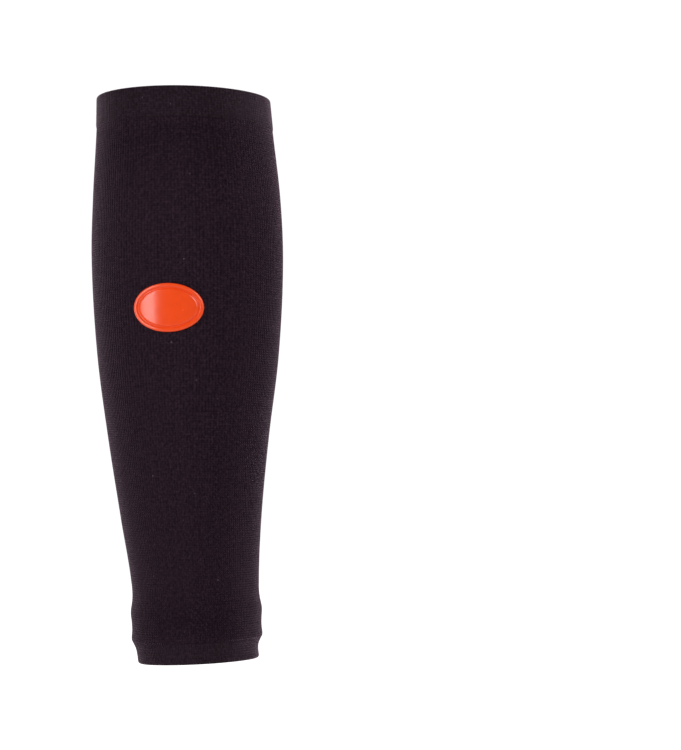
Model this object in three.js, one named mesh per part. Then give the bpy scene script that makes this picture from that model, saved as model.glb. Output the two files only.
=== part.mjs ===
// Shin guard sleeve: a knitted tube shaped to the lower leg, with a turned welt at each end and a blank oval badge
// on the shin. Millimetres, +Z up the leg, -Y out of the shin, +X to the right of someone who faces the shin.
// The origin is the middle of the leg at the widest girth of the calf, where the leg holds the sleeve up.
import * as THREE from "three";
import { ParametricGeometry } from "three/addons/geometries/ParametricGeometry.js";

// Sleeve
const SLEEVE_LENGTH = 320;
const CALF_GIRTH_HEIGHT = 230;
const KNIT_THICKNESS = 1.3;
const FIT_GAP = 0.3;
const SIDES = 48;

// Leg form: height above the ankle rim, width and depth of the section, how far its middle lies to the right and
// behind, how much narrower the shin side is than the calf side, and the rise of the row of stitches towards +X
const LEG_SECTIONS = [
  { height: 0, width: 67.4, depth: 78, right: 6.9, behind: -6, shin: 0, rise: 0.049 },
  { height: 7, width: 67.9, depth: 78, right: 6.1, behind: -6, shin: 0, rise: 0.046 },
  { height: 14, width: 72, depth: 78.5, right: 5.9, behind: -6, shin: 0.01, rise: 0.04 },
  { height: 42, width: 71.7, depth: 79.5, right: 4.9, behind: -6.2, shin: 0.03, rise: 0.028 },
  { height: 80, width: 79.5, depth: 87, right: 2.4, behind: -5, shin: 0.06, rise: 0 },
  { height: 127, width: 91.6, depth: 100.5, right: 0.8, behind: -2, shin: 0.1, rise: 0 },
  { height: 173, width: 103.4, depth: 111.5, right: 0.5, behind: 0.4, shin: 0.12, rise: 0 },
  { height: 230, width: 109.4, depth: 116, right: 0, behind: 0, shin: 0.13, rise: 0 },
  { height: 265, width: 106.8, depth: 113.5, right: -0.5, behind: -1.8, shin: 0.13, rise: -0.004 },
  { height: 302, width: 100.5, depth: 108, right: -1.7, behind: -4, shin: 0.11, rise: -0.012 },
  { height: 320, width: 98.3, depth: 105.5, right: -2.5, behind: -4.7, shin: 0.1, rise: -0.012 },
];
const SECTION_COLUMNS = ["width", "depth", "right", "behind", "shin", "rise"];

// Soft rolls where the slack knit sinks onto the ankle welt
const ANKLE_ROLLS = [
  { height: 12.9, swell: 1, spread: 3.8 },
  { height: 28.8, swell: 0.8, spread: 4.8 },
];
const ROLLS_TOP = 42;
const ROLL_ROWS = 10;
const LEG_ROWS = 17;

// Turned welts
const CALF_WELT_HEIGHT = 17.5;
const ANKLE_WELT_HEIGHT = 11.5;
const WELT_PROUD = 0.4;
const WELT_INNER_PLY = 1;
const WELT_LAP = 4;
const WELT_ROWS = 2;
const WELT_FOLD_STEPS = 6;

// Badge: an oval transfer, wrapped on the shin a little to the left of its ridge
const BADGE_WIDTH = 40;
const BADGE_TALL = 27;
const BADGE_HEIGHT = 197;
const BADGE_TURN = THREE.MathUtils.degToRad(-12);
const BADGE_SIDES = 40;
const BADGE_FIELD = 0.9;
const BADGE_CROWN = 0.3;
const BADGE_RIM = 1.4;
const BADGE_PROFILE = [
  { share: 0, lift: 0 },
  { share: 0.35, lift: 0 },
  { share: 0.7, lift: 0 },
  { share: 0.98, lift: 0 },
  { share: 1, lift: 0.5 * BADGE_RIM },
  { share: 0.98, lift: BADGE_RIM },
  { share: 0.92, lift: BADGE_RIM },
  { share: 0.89, lift: BADGE_FIELD },
  { share: 0.6, lift: BADGE_FIELD + 0.6 * BADGE_CROWN },
  { share: 0.3, lift: BADGE_FIELD + 0.9 * BADGE_CROWN },
  { share: 0, lift: BADGE_FIELD + BADGE_CROWN },
];

const legForm = new THREE.CubicInterpolant(
  LEG_SECTIONS.map((section) => section.height),
  LEG_SECTIONS.flatMap((section) => SECTION_COLUMNS.map((column) => section[column])),
  SECTION_COLUMNS.length,
);

function legSection(height) {
  const values = legForm.evaluate(height);
  return Object.fromEntries(SECTION_COLUMNS.map((column, index) => [column, values[index]]));
}

// A point on the worn sleeve: turn from the shin round to +X, height up the leg, and how far out of its outer face
function sleevePoint(turn, height, proud) {
  const { width, depth, right, behind, shin, rise } = legSection(height);
  const across = (width / 2 + proud) * Math.sin(turn);
  const back = -(depth / 2 + proud) * Math.cos(turn + shin * Math.sin(turn));
  return new THREE.Vector3(right + across, behind + back, height + rise * across - CALF_GIRTH_HEIGHT);
}

function evenly(from, to, steps) {
  return Array.from({ length: steps + 1 }, (_, step) => THREE.MathUtils.lerp(from, to, step / steps));
}

function rollSwell(height) {
  return ANKLE_ROLLS.reduce(
    (swell, roll) => swell + roll.swell * Math.exp(-(((height - roll.height) / roll.spread) ** 2)),
    0,
  );
}

// The wall of the tube, up its outer face and down its inner face
function tubeWall() {
  const lowerEdge = ANKLE_WELT_HEIGHT + FIT_GAP;
  const upperEdge = SLEEVE_LENGTH - CALF_WELT_HEIGHT - FIT_GAP;
  const rows = [...evenly(lowerEdge, ROLLS_TOP, ROLL_ROWS), ...evenly(ROLLS_TOP, upperEdge, LEG_ROWS).slice(1)];
  const outer = rows.map((height) => ({ height, proud: rollSwell(height) }));
  const inner = outer.map(({ height, proud }) => ({ height, proud: proud - KNIT_THICKNESS }));
  return [...outer, ...inner.toReversed()];
}

// The wall of a welt: outer face, rounded fold at the rim, inner face, then the inner ply that laps behind the tube
function weltWall(rim, seam) {
  const inward = Math.sign(seam - rim);
  const lapFace = -KNIT_THICKNESS - FIT_GAP;
  const innerFace = lapFace - WELT_INNER_PLY;
  const lapEnd = seam + inward * WELT_LAP;
  const foldRadius = (WELT_PROUD - innerFace) / 2;
  const foldMiddle = rim + inward * foldRadius;
  const fold = evenly(0, Math.PI, WELT_FOLD_STEPS).map((angle) => ({
    height: foldMiddle - inward * foldRadius * Math.sin(angle),
    proud: innerFace + foldRadius * (1 + Math.cos(angle)),
  }));
  const outer = evenly(seam, foldMiddle, WELT_ROWS).slice(0, -1);
  const inner = evenly(foldMiddle, lapEnd, WELT_ROWS).slice(1);
  const wall = [
    ...outer.map((height) => ({ height, proud: WELT_PROUD })),
    ...fold,
    ...inner.map((height) => ({ height, proud: innerFace })),
    { height: lapEnd, proud: lapFace },
    { height: seam, proud: lapFace },
  ];
  return inward < 0 ? wall : wall.toReversed();
}

// A closed ring: the outline of a wall carried once round the leg
function ringRoundLeg(wall) {
  const place = (around, along, target) => {
    const step = Math.min(Math.floor(along * wall.length + 1e-6), wall.length);
    const here = wall[step % wall.length];
    const next = wall[(step + 1) % wall.length];
    const share = along * wall.length - step;
    const height = THREE.MathUtils.lerp(here.height, next.height, share);
    const proud = THREE.MathUtils.lerp(here.proud, next.proud, share);
    target.copy(sleevePoint(around * 2 * Math.PI, height, proud));
  };
  return new ParametricGeometry(place, SIDES, wall.length);
}

// The badge is turned as a round button, stretched to its oval and wrapped on the shin
function wrappedBadge() {
  const profile = BADGE_PROFILE.map(({ share, lift }) => new THREE.Vector2(share, lift));
  const button = new THREE.LatheGeometry(profile, BADGE_SIDES);
  button.scale(BADGE_WIDTH / 2, 1, BADGE_TALL / 2);
  const shinRadius = legSection(BADGE_HEIGHT).width / 2;
  const points = button.getAttribute("position");
  for (let index = 0; index < points.count; index += 1) {
    const turn = BADGE_TURN + points.getX(index) / shinRadius;
    const height = BADGE_HEIGHT - points.getZ(index);
    const wrapped = sleevePoint(turn, height, FIT_GAP + points.getY(index));
    points.setXYZ(index, wrapped.x, wrapped.y, wrapped.z);
  }
  return button;
}

function piece(name, geometry, color, roughness) {
  const material = new THREE.MeshStandardMaterial({ name: `${name}_material`, color, roughness, metalness: 0 });
  const mesh = new THREE.Mesh(geometry, material);
  mesh.name = name;
  return mesh;
}

const BLACK_KNIT = 0x241a21;
const BLACK_WELT = 0x2b2128;
const ORANGE_TRANSFER = 0xf04a0a;

const calfWelt = ringRoundLeg(weltWall(SLEEVE_LENGTH, SLEEVE_LENGTH - CALF_WELT_HEIGHT));
const ankleWelt = ringRoundLeg(weltWall(0, ANKLE_WELT_HEIGHT));

const sleeve = new THREE.Group();
sleeve.name = "shin_guard_sleeve";
sleeve.add(piece("sleeve_tube", ringRoundLeg(tubeWall()), BLACK_KNIT, 0.95));
sleeve.add(piece("calf_welt", calfWelt, BLACK_WELT, 0.9));
sleeve.add(piece("ankle_welt", ankleWelt, BLACK_WELT, 0.9));
sleeve.add(piece("badge", wrappedBadge(), ORANGE_TRANSFER, 0.3));

export default sleeve;
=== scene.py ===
import math

import bpy
import numpy as np
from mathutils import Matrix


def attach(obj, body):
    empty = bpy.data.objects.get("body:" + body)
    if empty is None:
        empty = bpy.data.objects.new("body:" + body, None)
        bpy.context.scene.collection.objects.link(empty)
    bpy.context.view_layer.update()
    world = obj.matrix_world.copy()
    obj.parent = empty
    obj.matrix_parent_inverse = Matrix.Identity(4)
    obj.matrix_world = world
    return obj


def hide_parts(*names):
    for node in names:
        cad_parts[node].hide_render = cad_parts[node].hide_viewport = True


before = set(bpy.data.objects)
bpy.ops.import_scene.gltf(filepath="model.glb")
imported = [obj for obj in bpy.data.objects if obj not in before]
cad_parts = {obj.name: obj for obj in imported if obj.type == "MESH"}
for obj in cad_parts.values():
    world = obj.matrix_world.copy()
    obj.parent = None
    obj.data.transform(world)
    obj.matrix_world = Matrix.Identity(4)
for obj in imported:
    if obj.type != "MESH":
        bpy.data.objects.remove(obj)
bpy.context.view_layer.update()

MM = 0.001

# Sleeve sizes in millimetres, the same as the solids have
SLEEVE_LENGTH = 320.0
CALF_GIRTH_HEIGHT = 230.0
KNIT_THICKNESS = 1.3
FIT_GAP = 0.3
CALF_WELT_HEIGHT = 17.5
ANKLE_WELT_HEIGHT = 11.5
WELT_PROUD = 0.4
WELT_INNER_PLY = 1.0
WELT_LAP = 4.0
CALF_SEAM = SLEEVE_LENGTH - CALF_WELT_HEIGHT
ANKLE_SEAM = ANKLE_WELT_HEIGHT

# Leg form, a row for each section: height above the ankle rim, width, depth, how far its middle lies to the
# right and behind, how much sharper its shin side curves than its calf side, and the slope of the rows of
# stitches, up towards +X
LEG_SECTIONS = np.array([
    (0, 67.4, 78, 6.9, -6, 0, 0.049),
    (7, 67.9, 78, 6.1, -6, 0, 0.046),
    (14, 72, 78.5, 5.9, -6, 0.01, 0.04),
    (42, 71.7, 79.5, 4.9, -6.2, 0.03, 0.028),
    (80, 79.5, 87, 2.4, -5, 0.06, 0),
    (127, 91.6, 100.5, 0.8, -2, 0.1, 0),
    (173, 103.4, 111.5, 0.5, 0.4, 0.12, 0),
    (230, 109.4, 116, 0, 0, 0.13, 0),
    (265, 106.8, 113.5, -0.5, -1.8, 0.13, -0.004),
    (302, 100.5, 108, -1.7, -4, 0.11, -0.012),
    (320, 98.3, 105.5, -2.5, -4.7, 0.1, -0.012),
])

# Soft rolls above the ankle welt: height, swell, spread
ANKLE_ROLLS = (
    (12.9, 1.0, 3.8),
    (28.8, 0.8, 4.8),
)
ROLLS_TOP = 42.0

# Seams between the tube and its welts: the slit between their edges, how deep the linking stitches pull the
# knit in, how far from the seam that shows, how fast it fades, and where the mesh has rows beside the seam
SEAM_SLIT = 0.03
SEAM_DIP = 0.18
SEAM_REACH = 1.6
SEAM_FADE = 3
SEAM_STEPS = np.array([0, 0.15, 0.35, 0.6, 0.9, 1.25])

# Knit: wales round the leg, the height of a row of stitches, the depth of the furrows between the wales, and
# the share of that depth that lies proud. Wales about 2 mm apart at the calf and rows of 1.3 mm are coarser
# than the stitches of a real sports knit, which are about 1 mm, so that they show
WALES = 176
COURSE = 1.32
TUBE_FURROW = 0.42
TUBE_FURROW_INSIDE = -0.5 * TUBE_FURROW
WELT_FURROW = 0.24
CREST_SHARE = 0.5

# Mesh of the knit: columns in each wale, rows up the tube's outer and inner face, rows along each face of a
# welt, rows round its fold, and how many of those count as outside
COLUMNS_PER_WALE = 4
OUTER_ROLL_ROWS = 24
OUTER_LEG_ROWS = 80
INNER_ROLL_ROWS = 9
INNER_LEG_ROWS = 18
WELT_ROWS = 12
FOLD_ROWS = 15
FOLD_ROWS_OUTSIDE = 7

# Room that an outer face gets in the baked picture, where an inner face gets 1
TUBE_OUTER_ROOM = 2.4
WELT_OUTER_ROOM = 2.0

# Stitches: rows that a stitch's two legs climb for each wale across, how much of the yarn's height is left at
# the edges of a leg, the height of the loose fibre where the yarn's is 1, and the width of that fibre in
# millimetres, drawn coarser than the real 0.02 so that it shows
LEG_CLIMB = 1.3
LEG_EDGE = 0.4
FIBRE_HEIGHT = 0.4
FIBRE_WIDTH = 0.5

# Uneven yarn: pulls for each wale and for each row, how sharply the bright ones and the loose legs stand out,
# the width of slow clouds, the heights where the painted shade in the rib furrows starts to fade and ends,
# and how much of it is left
PULLS_PER_WALE = 1.15
PULLS_PER_ROW = 0.95
PULL_SHARPNESS = 2.5
LOOSE_LEG_SHARPNESS = 2.0
CLOUD_WIDTH = 9.0
RIBS_FADE_FROM = 175.0
RIBS_FADE_TO = 60.0
RIBS_LEFT = 0.15

# How far the knit is towards its lighter colour, and each cause of change: its mean, and the change it makes.
# The rib and stitch causes are painted shade in the furrows and between the legs of each stitch; the others
# are the yarn's uneven tone
YARN_SHADE = 0.45
SHADE_CAUSES = {
    "painted_rib_shade": (0.0, -0.16),
    "pull": (0.196, 1.2),
    "loose_leg": (0.333, 0.32),
    "stitch": (0.5, 0.45),
    "cloud": (0.5, 0.06),
    "needle": (0.5, 0.08),
}

# Painted shade and painted light on the knit towards a seam, for the lamps falling off towards the sleeve's
# ends, the shade of the rolls above the ankle welt and the light on that welt: the height where the change
# starts, the height where it is whole, and the change
TUBE_PAINTED_SHADES = (
    (CALF_SEAM - 50, CALF_SEAM, -0.14),
    (CALF_SEAM - 8, CALF_SEAM, 0.1),
    (ANKLE_SEAM + 34, ANKLE_SEAM, -0.17),
    (ANKLE_SEAM + 13, ANKLE_SEAM, 0.14),
)
WELT_PAINTED_SHADES = (
    (CALF_SEAM + 5, CALF_SEAM, -0.05),
    (ANKLE_SEAM + 10, ANKLE_SEAM, 0.17),
)

# Specks of lint: the spacing, the radius of a speck and of its heart, and how far it covers the yarn
LINT_SPACING = 11.0
LINT_RADIUS = 0.55
LINT_HEART = 0.22
LINT_COVER = 0.3

# Badge: its oval, the turn and height of its middle, the clearance under it, how far in its foot starts, the
# width of its rim, how far in its field starts, and the heights of its rim, groove, field and crown
BADGE_WIDTH = 40.0
BADGE_TALL = 27.0
BADGE_TURN = math.radians(-12)
BADGE_HEIGHT = 197.0
BADGE_UNDERSIDE = 0.1
BADGE_FOOT_INSET = 0.6
BADGE_RIM_WIDTH = 2.3
BADGE_FIELD_INSET = 3.1
BADGE_RIM = 1.45
BADGE_GROOVE = 0.6
BADGE_FIELD = 1.05
BADGE_CROWN = 0.45

# Mesh of the badge: points round it, the smallest ring's half height, the rings under it, over its bead, up
# its shoulder and over its field, and the arc of the bead
BADGE_SEGMENTS = 144
BADGE_SMALLEST_RING = 0.3
BADGE_UNDER_RINGS = 8
BADGE_BEAD_RINGS = 18
BADGE_SHOULDER_RINGS = 7
BADGE_FIELD_RINGS = 14
BADGE_BEAD_START = -0.3 * math.pi
BADGE_BEAD_END = 0.9 * math.pi

# Gel of the badge: width of its slow drifts of colour and gloss, and width and depth of its orange peel
GEL_DRIFT = 6.0
GEL_PEEL = 0.9
GEL_PEEL_DEPTH = 0.05

# Studio: half the width of the paper and its height in metres, and the room's strength as light and as seen
PAPER_HALF = 4.0
PAPER_HEIGHT = -0.335
ROOM_LIGHT = 0.28
ROOM_SEEN = 1.05

# Lamps: degrees round to the right, degrees up and metres away from the height aimed at, width and height in
# metres, watts, the height aimed at in metres, and the degrees that a grid lets the light spread
LAMPS = {
    "softbox_rear_left": (-144, -1, 1.0, 0.5, 0.48, 5.5, -0.07, 180),
    "softbox_rear_right": (151, -12, 0.8, 0.5, 0.2, 4, -0.07, 180),
    "softbox_left": (-62, 10, 1.05, 0.4, 0.8, 6, -0.07, 180),
    "softbox_right": (45, 22, 1.05, 0.5, 0.5, 5, -0.07, 180),
    "gridded_right_high": (108, 10, 0.5, 0.12, 0.08, 0.08, 0.12, 22),
    "gridded_right_low": (106, 0, 0.5, 0.12, 0.08, 0.06, -0.25, 25),
    "gridded_left_high": (-138, 10, 0.5, 0.12, 0.08, 0.012, 0.11, 25),
    "gridded_left_low": (-138, 0, 0.5, 0.12, 0.08, 0.012, -0.25, 25),
}

# Camera: the picture's longer side and the focal length in its pixels, then in millimetres the sensor's
# longer side, the eye's height above the ankle rim, its distance and its place aside, then its turn and tilt
PICTURE_TALL = 750
FOCAL_PIXELS = 2801.8
SENSOR_WIDTH = 36.0
EYE_HEIGHT = 102.3
EYE_DISTANCE = 1600.0
EYE_ASIDE = -0.58
EYE_TURNED_RIGHT = math.radians(3.153)
EYE_TILTED_UP = math.radians(2.134)

MATH = "ShaderNodeMath"
NOISE = "ShaderNodeTexNoise"
RANGE = "ShaderNodeMapRange"


def leg_section(height):
    """Width, depth, right, behind, shin and slope of the leg form at each height, on a smooth curve."""
    rows = LEG_SECTIONS[:, 0]
    values = LEG_SECTIONS[:, 1:]
    slopes = np.diff(values, axis=0) / np.diff(rows)[:, None]
    tangents = np.vstack([slopes[:1], (slopes[1:] + slopes[:-1]) / 2, slopes[-1:]])
    span = np.clip(np.searchsorted(rows, height, side="right") - 1, 0, len(rows) - 2)
    step = (rows[span + 1] - rows[span])[..., None]
    p = np.clip((height - rows[span])[..., None] / step, 0, 1)
    here = (1 + 2 * p) * (1 - p) ** 2 * values[span] + p * (1 - p) ** 2 * step * tangents[span]
    there = p * p * (3 - 2 * p) * values[span + 1] + p * p * (p - 1) * step * tangents[span + 1]
    return np.moveaxis(here + there, -1, 0)


def sleeve_point(turn, height, proud):
    """Points on the worn sleeve, in metres: turned from the shin to +X, up the leg, proud of its face."""
    turn, height, proud = np.broadcast_arrays(turn, height, proud)
    width, depth, right, behind, shin, slope = leg_section(height)
    across = (width / 2 + proud) * np.sin(turn)
    back = -(depth / 2 + proud) * np.cos(turn + shin * np.sin(turn))
    up = height + slope * across - CALF_GIRTH_HEIGHT
    return np.stack([right + across, behind + back, up], -1) * MM


def roll_swell(height):
    """How far the soft rolls above the ankle swell out."""
    return sum(swell * np.exp(-(((height - middle) / spread) ** 2)) for middle, swell, spread in ANKLE_ROLLS)


def seam_dip(distance):
    """How far the linking stitches of a seam pull the knit in, at a distance from the seam."""
    return SEAM_DIP * np.exp(-((distance / SEAM_REACH) ** 2) * SEAM_FADE)


def new_piece(name, points, faces, maps):
    """A smooth mesh with its named maps, one place per face corner."""
    mesh = bpy.data.meshes.new(name)
    mesh.from_pydata(points.reshape(-1, 3).tolist(), [], faces)
    for map_name, places in maps.items():
        layer = mesh.uv_layers.new(name=map_name)
        layer.data.foreach_set("uv", np.asarray(places, np.float32).ravel())
    mesh.polygons.foreach_set("use_smooth", np.ones(len(mesh.polygons), bool))
    mesh.update()
    piece = bpy.data.objects.new(name, mesh)
    bpy.context.scene.collection.objects.link(piece)
    return piece


def ring_piece(name, height, proud, furrow, bake_room):
    """A closed knitted ring. Each point of its wall has a height, a place proud of the sleeve's face, a
    furrow depth and its room in the baked picture."""
    rows, columns = len(height), WALES * COLUMNS_PER_WALE
    row, column = np.arange(rows), np.arange(columns)
    turn = (column / columns - 0.5) * 2 * math.pi
    from_crest = np.abs((column / COLUMNS_PER_WALE + 0.5) % 1 - 0.5) * 2
    relief = furrow[:, None] * (CREST_SHARE - from_crest ** 2)
    points = sleeve_point(turn, height[:, None], proud[:, None] + relief)
    index = np.arange(rows * columns).reshape(rows, columns)
    right = np.roll(index, -1, 1)
    faces = np.stack([index, right, np.roll(right, -1, 0), np.roll(index, -1, 0)], -1).reshape(-1, 4)
    lengths = np.hypot(np.diff(np.r_[height, height[0]]), np.diff(np.r_[proud, proud[0]]))
    course = np.r_[0, np.cumsum(lengths)] / COURSE
    room = lengths * (bake_room + np.roll(bake_room, -1))
    baked = np.r_[0, np.cumsum(room)] / room.sum()
    corner_column = np.stack([column, column + 1, column + 1, column], -1)[None]
    corner_row = np.stack([row, row, row + 1, row + 1], -1)[:, None]
    knit_place = np.broadcast_arrays(corner_column / COLUMNS_PER_WALE, course[corner_row])
    bake_place = np.broadcast_arrays(corner_column / columns, baked[corner_row])
    maps = {"knit": np.stack(knit_place, -1), "OFBake": np.stack(bake_place, -1)}
    return new_piece(name, points, faces.tolist(), maps)


def knit_tube():
    """The leg-shaped tube: up its outer face, with a dip at each seam, and down its inner face."""
    low = ANKLE_SEAM + SEAM_SLIT
    high = CALF_SEAM - SEAM_SLIT
    outer = np.r_[
        low + SEAM_STEPS,
        np.linspace(low + SEAM_REACH, ROLLS_TOP, OUTER_ROLL_ROWS),
        np.linspace(ROLLS_TOP, high - SEAM_REACH, OUTER_LEG_ROWS)[1:],
        high - SEAM_STEPS[::-1],
    ]
    inner = np.r_[
        np.linspace(low, ROLLS_TOP, INNER_ROLL_ROWS),
        np.linspace(ROLLS_TOP, high, INNER_LEG_ROWS)[1:],
    ]
    height = np.r_[outer, inner[::-1]]
    outside = np.arange(len(height)) < len(outer)
    dip = seam_dip(height - low) + seam_dip(high - height)
    proud = roll_swell(height) - np.where(outside, dip, KNIT_THICKNESS)
    stretch = leg_section(height)[0] / LEG_SECTIONS[:, 1].max()
    furrow = stretch * np.where(outside, TUBE_FURROW, TUBE_FURROW_INSIDE)
    return ring_piece("knit_tube", height, proud, furrow, np.where(outside, TUBE_OUTER_ROOM, 1.0))


def turned_welt(name, rim, seam):
    """A band of knit turned double: outer face, fold at the rim, inner face, and a lap behind the tube."""
    inward = math.copysign(1, seam - rim)
    lap_face = -KNIT_THICKNESS - FIT_GAP
    inner_face = lap_face - WELT_INNER_PLY
    lap_end = seam + inward * WELT_LAP
    radius = (WELT_PROUD - inner_face) / 2
    middle = rim + inward * radius
    fold = np.linspace(0, math.pi, FOLD_ROWS)
    outer = np.r_[
        seam - inward * SEAM_STEPS,
        np.linspace(seam - inward * SEAM_REACH, middle, WELT_ROWS)[:-1],
    ]
    inner = np.linspace(middle, lap_end, WELT_ROWS)[1:]
    height = np.r_[outer, middle - inward * radius * np.sin(fold), inner, lap_end, seam]
    proud = np.r_[
        np.maximum(WELT_PROUD, roll_swell(outer)) - seam_dip(np.abs(outer - seam)),
        inner_face + radius * (1 + np.cos(fold)),
        np.full(len(inner), inner_face),
        lap_face,
        lap_face,
    ]
    outside = np.arange(len(height)) < len(outer) + FOLD_ROWS_OUTSIDE
    furrow = np.where(outside, WELT_FURROW, 0.0)
    wall = np.stack([height, proud, furrow, np.where(outside, WELT_OUTER_ROOM, 1.0)])
    return ring_piece(name, *(wall if inward < 0 else wall[:, ::-1]))


def badge_rings():
    """How far in from the edge and how high each ring of the badge lies, from the middle of the underside out
    round the rim's bead, down into the groove and in over the field."""
    half_tall = BADGE_TALL / 2
    under = np.linspace(half_tall - BADGE_SMALLEST_RING, BADGE_FOOT_INSET, BADGE_UNDER_RINGS)
    bead = np.linspace(BADGE_BEAD_START, BADGE_BEAD_END, BADGE_BEAD_RINGS)
    shoulder = np.linspace(0, math.pi / 2, BADGE_SHOULDER_RINGS)[1:]
    field = np.linspace(BADGE_FIELD_INSET, half_tall, BADGE_FIELD_RINGS)[1:-1]
    crown = 1 - ((half_tall - field) / (half_tall - BADGE_FIELD_INSET)) ** 2
    inset = np.r_[
        under,
        BADGE_RIM_WIDTH / 2 * (1 - np.cos(bead)),
        BADGE_RIM_WIDTH + (BADGE_FIELD_INSET - BADGE_RIM_WIDTH) * np.sin(shoulder),
        field,
    ]
    lift = np.r_[
        np.full(len(under), BADGE_UNDERSIDE),
        BADGE_GROOVE + (BADGE_RIM - BADGE_GROOVE) * np.sin(bead),
        BADGE_FIELD - (BADGE_FIELD - BADGE_GROOVE) * np.cos(shoulder),
        BADGE_FIELD + BADGE_CROWN * crown,
    ]
    return inset, np.maximum(lift, BADGE_UNDERSIDE)


def oval_badge():
    """The rings of the badge, wrapped on the shin and closed by a point in the middle of its underside and of
    its field. The rim keeps its width all round, and the rings inside it shrink towards the middle."""
    inset, lift = badge_rings()
    half_wide, half_tall = BADGE_WIDTH / 2, BADGE_TALL / 2
    rim_inset = np.minimum(inset, BADGE_FIELD_INSET)
    inner_share = (half_tall - inset) / (half_tall - rim_inset)
    angle = np.arange(BADGE_SEGMENTS) / BADGE_SEGMENTS * 2 * math.pi
    across = ((half_wide - rim_inset) * inner_share)[:, None] * np.cos(angle)
    up = ((half_tall - rim_inset) * inner_share)[:, None] * np.sin(angle)
    across = np.r_[across.ravel(), 0, 0]
    up = np.r_[up.ravel(), 0, 0]
    lift = np.r_[np.repeat(lift, BADGE_SEGMENTS), BADGE_UNDERSIDE, BADGE_FIELD + BADGE_CROWN]
    shin_radius = leg_section(np.array(BADGE_HEIGHT))[0] / 2
    points = sleeve_point(BADGE_TURN + across / shin_radius, BADGE_HEIGHT + up, lift)
    under_middle, top_middle = len(points) - 2, len(points) - 1
    index = np.arange(under_middle).reshape(-1, BADGE_SEGMENTS)
    right = np.roll(index, -1, 1)
    faces = np.stack([index[:-1], right[:-1], right[1:], index[1:]], -1).reshape(-1, 4).tolist()
    faces += [[under_middle, b, a] for a, b in zip(index[0].tolist(), right[0].tolist())]
    faces += [[top_middle, a, b] for a, b in zip(index[-1].tolist(), right[-1].tolist())]
    corners = [corner for face in faces for corner in face]
    return new_piece("oval_badge", points, faces, {"oval": np.stack([across, up], -1)[corners]})


def linear(hex_colour):
    """An sRGB hex value as linear red, green, blue and full alpha."""
    parts = [int(hex_colour[i:i + 2], 16) / 255 for i in (1, 3, 5)]
    return [p / 12.92 if p <= 0.04045 else ((p + 0.055) / 1.055) ** 2.4 for p in parts] + [1.0]


def add(tree, kind, settings=None, inputs=None):
    """Adds a node with its own settings, and gives its outputs. Each of its inputs takes a value, or a link
    from another node's output."""
    node = tree.nodes.new(kind)
    for key, value in (settings or {}).items():
        setattr(node, key, value)
    for key, value in (inputs or {}).items():
        if isinstance(value, bpy.types.NodeSocket):
            tree.links.new(value, node.inputs[key])
        else:
            node.inputs[key].default_value = value
    return node.outputs


def bare_tree(owner):
    """The emptied node tree of a material or of the room."""
    owner.use_nodes = True
    owner.node_tree.nodes.clear()
    return owner.node_tree


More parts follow.
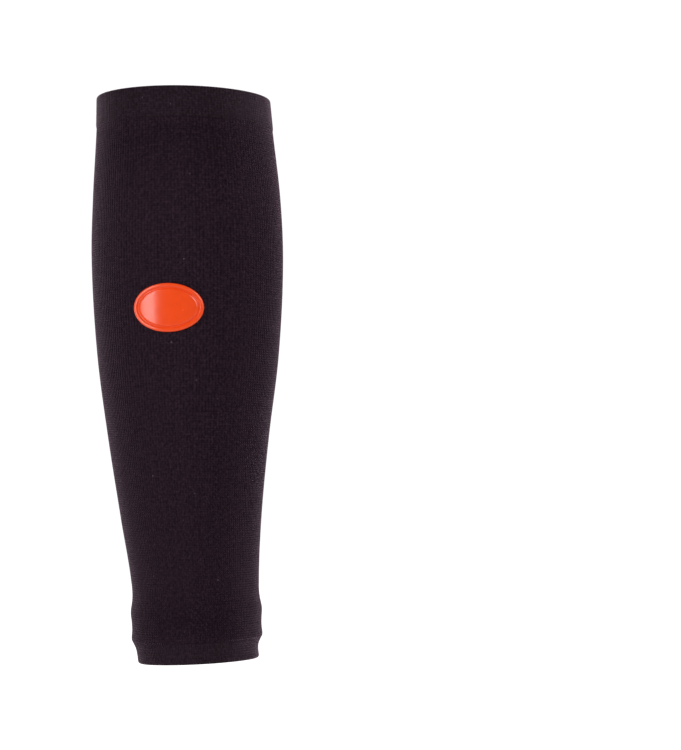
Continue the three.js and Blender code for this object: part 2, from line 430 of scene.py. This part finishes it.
def knit_patterns(tree):
    """What the yarn draws, from each point's place in wales and rows and from its spot on the leg."""
    place = add(tree, "ShaderNodeUVMap", {"uv_map": "knit"})[0]
    spot = add(tree, "ShaderNodeTexCoord")["Object"]
    up = add(tree, "ShaderNodeSeparateXYZ", None, {0: spot})[2]
    parts = add(tree, "ShaderNodeSeparateXYZ", None, {0: place})
    wale, course = parts[0], parts[1]

    # Across a wale, from its crest to the furrow on either side
    shifted = add(tree, MATH, {"operation": "ADD"}, {0: wale, 1: 0.5})[0]
    within = add(tree, MATH, {"operation": "FRACT"}, {0: shifted})[0]
    centred = add(tree, MATH, {"operation": "SUBTRACT"}, {0: within, 1: 0.5})[0]
    from_crest = add(tree, MATH, {"operation": "ABSOLUTE"}, {0: centred})[0]

    # The two legs of each V stitch, rounded across the leg and along it, with loose fibre
    half_turns = add(tree, MATH, {"operation": "MULTIPLY"}, {0: from_crest, 1: 2 * math.pi})[0]
    strand = add(tree, MATH, {"operation": "SINE"}, {0: half_turns})[0]
    leg = add(tree, MATH, {"operation": "MULTIPLY_ADD"}, {0: strand, 1: 1 - LEG_EDGE, 2: LEG_EDGE})[0]
    slant = add(tree, MATH, {"operation": "MULTIPLY_ADD"}, {0: from_crest, 1: -LEG_CLIMB, 2: course})[0]
    loop = add(tree, MATH, {"operation": "FRACT"}, {0: slant})[0]
    loop_turn = add(tree, MATH, {"operation": "MULTIPLY"}, {0: loop, 1: math.pi})[0]
    yarn_round = add(tree, MATH, {"operation": "SINE"}, {0: loop_turn})[0]
    stitch = add(tree, MATH, {"operation": "MULTIPLY"}, {0: yarn_round, 1: leg})[0]
    fibre = add(tree, NOISE, None, {"Vector": spot, "Scale": 1 / (FIBRE_WIDTH * MM), "Detail": 2.0})[0]
    relief = add(tree, MATH, {"operation": "MULTIPLY_ADD"}, {0: fibre, 1: FIBRE_HEIGHT, 2: stitch})[0]

    # Painted shade in the furrows between the ribs, fading where the leg is slimmer
    gully = add(tree, MATH, {"operation": "MULTIPLY"}, {0: from_crest, 1: 2.0})[0]
    gully_off_mean = add(tree, MATH, {"operation": "SUBTRACT"}, {0: gully, 1: 0.5})[0]
    fullness = add(tree, RANGE, {"interpolation_type": "SMOOTHSTEP"}, {
        "Value": up,
        "From Min": (RIBS_FADE_FROM - CALF_GIRTH_HEIGHT) * MM,
        "From Max": (RIBS_FADE_TO - CALF_GIRTH_HEIGHT) * MM,
        "To Min": 1.0,
        "To Max": RIBS_LEFT,
    })[0]
    painted_rib_shade = add(tree, MATH, {"operation": "MULTIPLY"}, {0: gully_off_mean, 1: fullness})[0]

    # Uneven yarn: each leg and each needle's wale looser or tighter, then pulls, then clouds over stitches
    leg_count = add(tree, MATH, {"operation": "MULTIPLY"}, {0: shifted, 1: 2.0})[0]
    leg_column = add(tree, MATH, {"operation": "FLOOR"}, {0: leg_count})[0]
    leg_row = add(tree, MATH, {"operation": "FLOOR"}, {0: slant})[0]
    leg_cell = add(tree, "ShaderNodeCombineXYZ", None, {0: leg_column, 1: leg_row})[0]
    slack_and_painted_seam_shade = add(tree, "ShaderNodeTexWhiteNoise", {"noise_dimensions": "2D"}, {"Vector": leg_cell})["Value"]
    loose_leg = add(tree, MATH, {"operation": "POWER"}, {0: slack_and_painted_seam_shade, 1: LOOSE_LEG_SHARPNESS})[0]
    wale_number = add(tree, MATH, {"operation": "FLOOR"}, {0: shifted})[0]
    needle = add(tree, "ShaderNodeTexWhiteNoise", {"noise_dimensions": "1D"}, {"W": wale_number})["Value"]
    pull_rate = (PULLS_PER_WALE, PULLS_PER_ROW, 0)
    pull_place = add(tree, "ShaderNodeVectorMath", {"operation": "MULTIPLY"}, {0: place, 1: pull_rate})[0]
    any_pull = add(tree, NOISE, {"noise_dimensions": "2D"}, {
        "Vector": pull_place,
        "Scale": 1.0,
        "Detail": 1.0,
    })[0]
    pull = add(tree, MATH, {"operation": "POWER"}, {0: any_pull, 1: PULL_SHARPNESS})[0]
    cloud = add(tree, NOISE, None, {"Vector": spot, "Scale": 1 / (CLOUD_WIDTH * MM), "Detail": 3.0})[0]

    return {
        "spot": spot, "up": up, "relief": relief, "stitch": stitch, "painted_rib_shade": painted_rib_shade,
        "pull": pull, "loose_leg": loose_leg, "cloud": cloud, "needle": needle,
    }


def knit_shade(tree, patterns, painted_seam_shades):
    """How far the knit is towards its lighter colour: the painted shade and light beside the seams first,
    then each cause in the yarn, of which the ribs and stitches paint shade in the furrows and between the
    legs.
    """
    shade = YARN_SHADE
    # Painted shade and painted light beside the seams, for the lamps' fall-off towards the ends and the rolls
    # above the ankle
    for start, end, change in painted_seam_shades:
        slack_and_painted_seam_shade = add(tree, RANGE, {"interpolation_type": "SMOOTHSTEP"}, {
            "Value": patterns["up"],
            "From Min": (start - CALF_GIRTH_HEIGHT) * MM,
            "From Max": (end - CALF_GIRTH_HEIGHT) * MM,
        })[0]
        shade = add(tree, MATH, {"operation": "MULTIPLY_ADD"}, {0: slack_and_painted_seam_shade, 1: change, 2: shade})[0]
    # The yarn's causes; the rib and stitch ones are painted shade in the furrows and between the stitches'
    # legs
    for cause, (mean, change) in SHADE_CAUSES.items():
        off_mean = add(tree, MATH, {"operation": "SUBTRACT"}, {0: patterns[cause], 1: mean})[0]
        shade = add(tree, MATH, {"operation": "MULTIPLY_ADD"}, {0: off_mean, 1: change, 2: shade})[0]
    return shade


def knit_material(name, yarn, furrow, lint, stitch_depth, painted_seam_shades):
    """Circular-knitted nylon and elastane yarn. To the eye it is matt and near black with a trace of plum, in
    rows of V stitches on upright wales that vary from one to the next, with a few specks of lint. Loose fibre
    gives it a soft bloom that lightens it where it turns away. Its colour also holds painted shade in the
    furrows between the wales and between the legs of each stitch, and painted shade and light beside each
    seam."""
    material = bpy.data.materials.new(name)
    tree = bare_tree(material)
    patterns = knit_patterns(tree)
    # Between the furrow colour and the yarn colour; the darker end holds painted shade as well as the yarn's
    # darker tone
    body = add(tree, "ShaderNodeMix", {"data_type": "RGBA", "clamp_factor": True}, {
        "Factor": knit_shade(tree, patterns, painted_seam_shades),
        6: linear(furrow),
        7: linear(yarn),
    })[2]
    speck = add(tree, "ShaderNodeTexVoronoi", None, {
        "Vector": patterns["spot"],
        "Scale": 1 / (LINT_SPACING * MM),
    })["Distance"]
    cover = add(tree, RANGE, None, {
        "Value": speck,
        "From Min": LINT_RADIUS / LINT_SPACING,
        "From Max": LINT_HEART / LINT_SPACING,
        "To Max": LINT_COVER,
    })[0]
    base = add(tree, "ShaderNodeMix", {"data_type": "RGBA"}, {"Factor": cover, 6: body, 7: linear(lint)})[2]
    matt = add(tree, RANGE, None, {"Value": patterns["stitch"], "To Min": 0.95, "To Max": 0.78})[0]
    bump = add(tree, "ShaderNodeBump", None, {
        "Strength": 1.0,
        "Distance": stitch_depth * MM,
        "Height": patterns["relief"],
    })[0]
    shader = add(tree, "ShaderNodeBsdfPrincipled", None, {
        "Base Color": base,
        "Roughness": matt,
        "Specular IOR Level": 0.03,
        "Sheen Weight": 0.64,
        "Sheen Roughness": 0.24,
        "Sheen Tint": linear("#ffd8f0"),
        "Normal": bump,
    })[0]
    add(tree, "ShaderNodeOutputMaterial", None, {"Surface": shader})
    return material


def gel_material():
    """Orange polyurethane gel, cast and heat pressed onto the knit. To the eye it is glossy and full in
    colour, with a faint orange peel and slow drifts of colour and gloss."""
    material = bpy.data.materials.new("cast_orange_polyurethane")
    tree = bare_tree(material)
    place = add(tree, "ShaderNodeUVMap", {"uv_map": "oval"})[0]
    drift = add(tree, NOISE, None, {"Vector": place, "Scale": 1 / GEL_DRIFT, "Detail": 2.0})[0]
    peel = add(tree, NOISE, None, {"Vector": place, "Scale": 1 / GEL_PEEL, "Detail": 1.0})[0]
    colour = add(tree, "ShaderNodeMix", {"data_type": "RGBA"}, {
        "Factor": drift,
        6: linear("#ed4400"),
        7: linear("#fa4b00"),
    })[2]
    gloss = add(tree, RANGE, None, {"Value": drift, "To Min": 0.2, "To Max": 0.3})[0]
    bump = add(tree, "ShaderNodeBump", None, {
        "Strength": 0.35,
        "Distance": GEL_PEEL_DEPTH * MM,
        "Height": peel,
    })[0]
    shader = add(tree, "ShaderNodeBsdfPrincipled", None, {
        "Base Color": colour,
        "Roughness": gloss,
        "IOR": 1.5,
        "Coat Weight": 0.1,
        "Coat Roughness": 0.15,
        "Normal": bump,
    })[0]
    add(tree, "ShaderNodeOutputMaterial", None, {"Surface": shader})
    return material


def paper_floor():
    """White seamless paper. To the eye it is matt and evenly white."""
    paper = bpy.data.materials.new("white_seamless_paper")
    tree = bare_tree(paper)
    seen = add(tree, "ShaderNodeLightPath")["Is Camera Ray"]
    shader = add(tree, "ShaderNodeBsdfPrincipled", None, {
        "Base Color": linear("#f0f0f0"),
        "Roughness": 0.9,
        "Emission Color": linear("#ffffff"),
        "Emission Strength": seen,
    })[0]
    add(tree, "ShaderNodeOutputMaterial", None, {"Surface": shader})
    corners = np.array([
        (-PAPER_HALF, -PAPER_HALF, PAPER_HEIGHT),
        (PAPER_HALF, -PAPER_HALF, PAPER_HEIGHT),
        (PAPER_HALF, PAPER_HALF, PAPER_HEIGHT),
        (-PAPER_HALF, PAPER_HALF, PAPER_HEIGHT),
    ])
    floor = new_piece("paper_floor", corners, [[0, 1, 2, 3]], {})
    floor.data.materials.append(paper)


def studio_lamps():
    """A softbox behind each side and in front of each side, and small gridded lamps for both ends' sides."""
    for name, (azimuth, elevation, distance, width, tall, watts, aimed_at, spread) in LAMPS.items():
        light = bpy.data.lights.new(name, "AREA")
        light.shape = "RECTANGLE"
        light.size = width
        light.size_y = tall
        light.energy = watts
        light.spread = math.radians(spread)
        lamp = bpy.data.objects.new(name, light)
        turn, lift = math.radians(azimuth), math.radians(elevation)
        lamp.location = (
            distance * math.sin(turn) * math.cos(lift),
            -distance * math.cos(turn) * math.cos(lift),
            distance * math.sin(lift) + aimed_at,
        )
        lamp.rotation_euler = (math.pi / 2 - lift, 0, turn)
        lamp.visible_camera = False
        bpy.context.scene.collection.objects.link(lamp)


def white_room():
    """A white room, dimmer as a light than it looks, and plain colours."""
    room = bpy.data.worlds.new("white_room")
    tree = bare_tree(room)
    seen = add(tree, "ShaderNodeLightPath")["Is Camera Ray"]
    strength = add(tree, RANGE, None, {"Value": seen, "To Min": ROOM_LIGHT, "To Max": ROOM_SEEN})[0]
    backdrop = add(tree, "ShaderNodeBackground", None, {"Color": linear("#ffffff"), "Strength": strength})[0]
    add(tree, "ShaderNodeOutputWorld", None, {"Surface": backdrop})
    bpy.context.scene.world = room
    bpy.context.scene.view_settings.view_transform = "Standard"


def photo_camera():
    """Level with the lower calf, straight in front of the sleeve, and turned right so that the sleeve stands
    at the left of the picture."""
    lens = bpy.data.cameras.new("photo_camera")
    lens.sensor_width = SENSOR_WIDTH
    lens.lens = SENSOR_WIDTH * FOCAL_PIXELS / PICTURE_TALL
    eye = bpy.data.objects.new("photo_camera", lens)
    eye.location = (EYE_ASIDE * MM, -EYE_DISTANCE * MM, (EYE_HEIGHT - CALF_GIRTH_HEIGHT) * MM)
    eye.rotation_euler = (math.pi / 2 + EYE_TILTED_UP, 0, -EYE_TURNED_RIGHT)
    bpy.context.scene.collection.objects.link(eye)
    bpy.context.scene.camera = eye


# The furrow colour is the dark end for the yarn's uneven tone and for painted shade in furrows, between
# stitches and beside seams
tube_knit = knit_material(
    "circular_knit_black_nylon", yarn="#342430", furrow="#150e13", lint="#8a8089",
    stitch_depth=0.17, painted_seam_shades=TUBE_PAINTED_SHADES,
)
welt_knit = knit_material(
    "turned_knit_black_nylon", yarn="#32252e", furrow="#160f14", lint="#8a8089",
    stitch_depth=0.12, painted_seam_shades=WELT_PAINTED_SHADES,
)
orange_gel = gel_material()

tube = knit_tube()
calf_band = turned_welt("calf_band", SLEEVE_LENGTH, CALF_SEAM)
ankle_band = turned_welt("ankle_band", 0.0, ANKLE_SEAM)
badge = oval_badge()

for piece, node, slot, material in (
    (tube, "sleeve_tube", "knit", tube_knit),
    (calf_band, "calf_welt", "welt", welt_knit),
    (ankle_band, "ankle_welt", "welt", welt_knit),
    (badge, "badge", "transfer", orange_gel),
):
    piece.data.materials.append(material)
    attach(piece, "root")
    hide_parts(node)

paper_floor()
studio_lamps()
white_room()
photo_camera()
